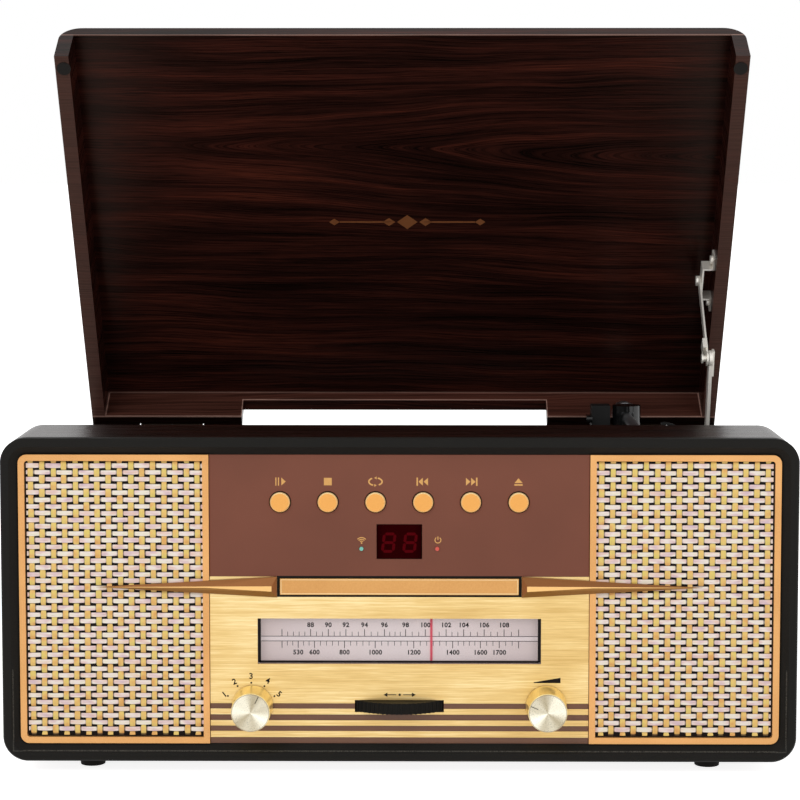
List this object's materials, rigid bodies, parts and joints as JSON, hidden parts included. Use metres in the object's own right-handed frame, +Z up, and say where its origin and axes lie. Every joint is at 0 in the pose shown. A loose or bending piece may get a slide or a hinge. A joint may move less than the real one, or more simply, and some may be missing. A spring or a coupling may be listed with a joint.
{
  "type": "stereo music centre",
  "caption": "Wooden music centre with woven speaker grilles, radio dial, disc drawer and a record player under a hinged lid held open by a stay",
  "frame": {"origin": "on the surface it stands on, under the middle of the whole object with the lid open", "axes": "+Z up, +X to the right seen from the front, +Y to the back"},
  "size_m": [0.445, 0.4157, 0.4305],
  "materials": {
    "wood_grain": "satin dark rosewood print",
    "inner_wood": "raw board",
    "black_texture": "fine-textured black",
    "black_plastic": "satin black",
    "black_gloss": "gloss black",
    "gold_paint": "satin gold",
    "brushed_gold": "brushed gold",
    "brown_paint": "satin brown",
    "cane": "woven cane",
    "clear": "clear window",
    "smoke": "dark window",
    "dial_print": "printed dial",
    "pointer_red": "gloss red",
    "light_lens": "coloured light",
    "nickel": "bright nickel",
    "steel": "plain steel",
    "alloy": "turned",
    "brass": "turned",
    "rubber": "matt",
    "circuit_board": "soldered board",
    "cord_fibre": "woven cord",
    "white_plastic": "plain",
    "grey_plastic": "plain"
  },
  "bodies": {
    "cabinet": {"cabinet_shell": "wood_grain", "front_frame": "black_texture", "baffle_board": "inner_wood", "inner_boards": "wood_grain", "back_panel": "black_plastic", "cabinet_screws": "nickel", "feet": "rubber", "grille_bezels": "gold_paint", "grille_cloths": "cane", "speakers": "grey_plastic", "control_panel": "brown_paint", "gold_fascia": "brushed_gold", "spear_trims": "brown_paint", "display_window": "smoke", "status_lights": "light_lens", "control_board": "circuit_board", "rotary_controls": "steel", "dial_lens": "clear", "dial_plate": "dial_print", "dial_cord": "cord_fibre", "tuning_bracket": "steel", "cd_loader_frame": "grey_plastic", "main_board": "circuit_board", "power_transformer": "steel", "rear_sockets": "nickel", "deck_plate": "black_plastic", "platter_motor": "steel", "drive_belt": "rubber", "tonearm_base": "black_gloss", "cabinet_hinges": "nickel"},
    "lid": {"lid_shell": "wood_grain", "lid_hinges": "nickel", "lid_bumpers": "rubber", "stay_bracket": "nickel"},
    "stay_upper": {"stay_upper_arm": "nickel"},
    "stay_lower": {"stay_lower_arm": "nickel"},
    "platter": {"platter": "alloy", "slip_mat": "rubber", "spindle": "nickel"},
    "pulley": {"motor_pulley": "brass"},
    "arm_yoke": {"tonearm_yoke": "black_gloss"},
    "arm": {"tonearm": "alloy"},
    "clip": {"arm_clip": "black_plastic"},
    "lift": {"cue_lever": "nickel"},
    "speed": {"speed_switch": "nickel"},
    "tray": {"cd_tray": "grey_plastic", "cd_door": "gold_paint"},
    "hub": {"disc_hub": "white_plastic"},
    "sled": {"laser_sled": "grey_plastic"},
    "function": {"function_knob": "brushed_gold"},
    "volume": {"volume_knob": "brushed_gold"},
    "tuning": {"tuning_wheel": "black_plastic"},
    "pointer": {"dial_pointer": "pointer_red"},
    "capacitor": {"tuning_gear": "white_plastic"},
    "play": {"play_button": "gold_paint"},
    "stop": {"stop_button": "gold_paint"},
    "repeat": {"repeat_button": "gold_paint"},
    "previous": {"previous_button": "gold_paint"},
    "next": {"next_button": "gold_paint"},
    "eject": {"eject_button": "gold_paint"}
  },
  "joints": [
    {"name": "lid_hinge", "type": "hinge", "parent": "cabinet", "child": "lid", "pos_m": [0, 0.17681, 0.1537], "axis": [1, 0, 0], "range_deg": [0, 57.9]},
    {"name": "stay_upper_pivot", "type": "hinge", "parent": "lid", "child": "stay_upper", "pos_m": [0.2037, 0.12321, 0.26173], "axis": [1, 0, 0], "range_deg": [-69.5, 0]},
    {"name": "stay_lower_pivot", "type": "hinge", "parent": "cabinet", "child": "stay_lower", "pos_m": [0.2053, 0.10681, 0.1087], "axis": [1, 0, 0], "range_deg": [0, 63.89]},
    {"name": "platter_spin", "type": "hinge", "parent": "cabinet", "child": "platter", "pos_m": [-0.0064, 0.03781, 0.1512], "axis": [0, 0, -1], "continuous": true},
    {"name": "pulley_spin", "type": "hinge", "parent": "cabinet", "child": "pulley", "pos_m": [-0.06489, 0.10752, 0.1512], "axis": [0, 0, -1], "continuous": true},
    {"name": "arm_swing", "type": "hinge", "parent": "cabinet", "child": "arm_yoke", "pos_m": [0.156, 0.13581, 0.166], "axis": [0, 0, -1], "range_deg": [0, 42]},
    {"name": "arm_lift", "type": "hinge", "parent": "arm_yoke", "child": "arm", "pos_m": [0.156, 0.13581, 0.166], "axis": [-1, 0, 0], "range_deg": [0, 2.5]},
    {"name": "clip_turn", "type": "hinge", "parent": "cabinet", "child": "clip", "pos_m": [0.166, -0.00419, 0.163], "axis": [0, -1, 0], "range_deg": [0, 90]},
    {"name": "lift_lever", "type": "hinge", "parent": "cabinet", "child": "lift", "pos_m": [0.1279, 0.13781, 0.166], "axis": [-1, 0, 0], "range_deg": [0, 25]},
    {"name": "speed_select", "type": "slide", "parent": "cabinet", "child": "speed", "axis": [0, 1, 0], "range_m": [0, 0.008]},
    {"name": "tray_slide", "type": "slide", "parent": "cabinet", "child": "tray", "axis": [0, -1, 0], "range_m": [0, 0.13]},
    {"name": "hub_spin", "type": "hinge", "parent": "cabinet", "child": "hub", "pos_m": [0, -0.12069, 0.1036], "axis": [0, 0, -1], "continuous": true},
    {"name": "sled_slide", "type": "slide", "parent": "cabinet", "child": "sled", "axis": [0, 1, 0], "range_m": [0, 0.03]},
    {"name": "play_press", "type": "slide", "parent": "cabinet", "child": "play", "axis": [0, 1, 0], "range_m": [0, 0.0012], "stiffness_N_per_m": 300, "springref_m": -0.001},
    {"name": "stop_press", "type": "slide", "parent": "cabinet", "child": "stop", "axis": [0, 1, 0], "range_m": [0, 0.0012], "stiffness_N_per_m": 300, "springref_m": -0.001},
    {"name": "repeat_press", "type": "slide", "parent": "cabinet", "child": "repeat", "axis": [0, 1, 0], "range_m": [0, 0.0012], "stiffness_N_per_m": 300, "springref_m": -0.001},
    {"name": "previous_press", "type": "slide", "parent": "cabinet", "child": "previous", "axis": [0, 1, 0], "range_m": [0, 0.0012], "stiffness_N_per_m": 300, "springref_m": -0.001},
    {"name": "next_press", "type": "slide", "parent": "cabinet", "child": "next", "axis": [0, 1, 0], "range_m": [0, 0.0012], "stiffness_N_per_m": 300, "springref_m": -0.001},
    {"name": "eject_press", "type": "slide", "parent": "cabinet", "child": "eject", "axis": [0, 1, 0], "range_m": [0, 0.0012], "stiffness_N_per_m": 300, "springref_m": -0.001},
    {"name": "function_turn", "type": "hinge", "parent": "cabinet", "child": "function", "pos_m": [-0.0825, -0.19419, 0.039], "axis": [0, 1, 0], "range_deg": [-102, 34]},
    {"name": "volume_turn", "type": "hinge", "parent": "cabinet", "child": "volume", "pos_m": [0.0825, -0.19419, 0.039], "axis": [0, 1, 0], "range_deg": [-83, 217]},
    {"name": "tuning_turn", "type": "hinge", "parent": "cabinet", "child": "tuning", "pos_m": [0, -0.15879, 0.0356], "axis": [0, 0, -1], "range_deg": [-240.95, 140.09]},
    {"name": "pointer_slide", "type": "slide", "parent": "cabinet", "child": "pointer", "axis": [1, 0, 0], "range_m": [-0.08604, 0.05003]},
    {"name": "capacitor_turn", "type": "hinge", "parent": "cabinet", "child": "capacitor", "pos_m": [0, -0.13969, 0.0356], "axis": [0, 0, -1], "range_deg": [-64.72, 111.32]}
  ],
  "couplings": [
    {"joint": "stay_upper_pivot", "follows": "lid_hinge", "ratio": -1.1991},
    {"joint": "stay_lower_pivot", "follows": "lid_hinge", "ratio": 1.1023},
    {"joint": "pulley_spin", "follows": "platter_spin", "ratio": 28},
    {"joint": "arm_lift", "follows": "lift_lever", "ratio": 0.1},
    {"joint": "pointer_slide", "follows": "tuning_turn", "m_per_rad": 0.02045},
    {"joint": "capacitor_turn", "follows": "tuning_turn", "ratio": -0.46154}
  ]
}
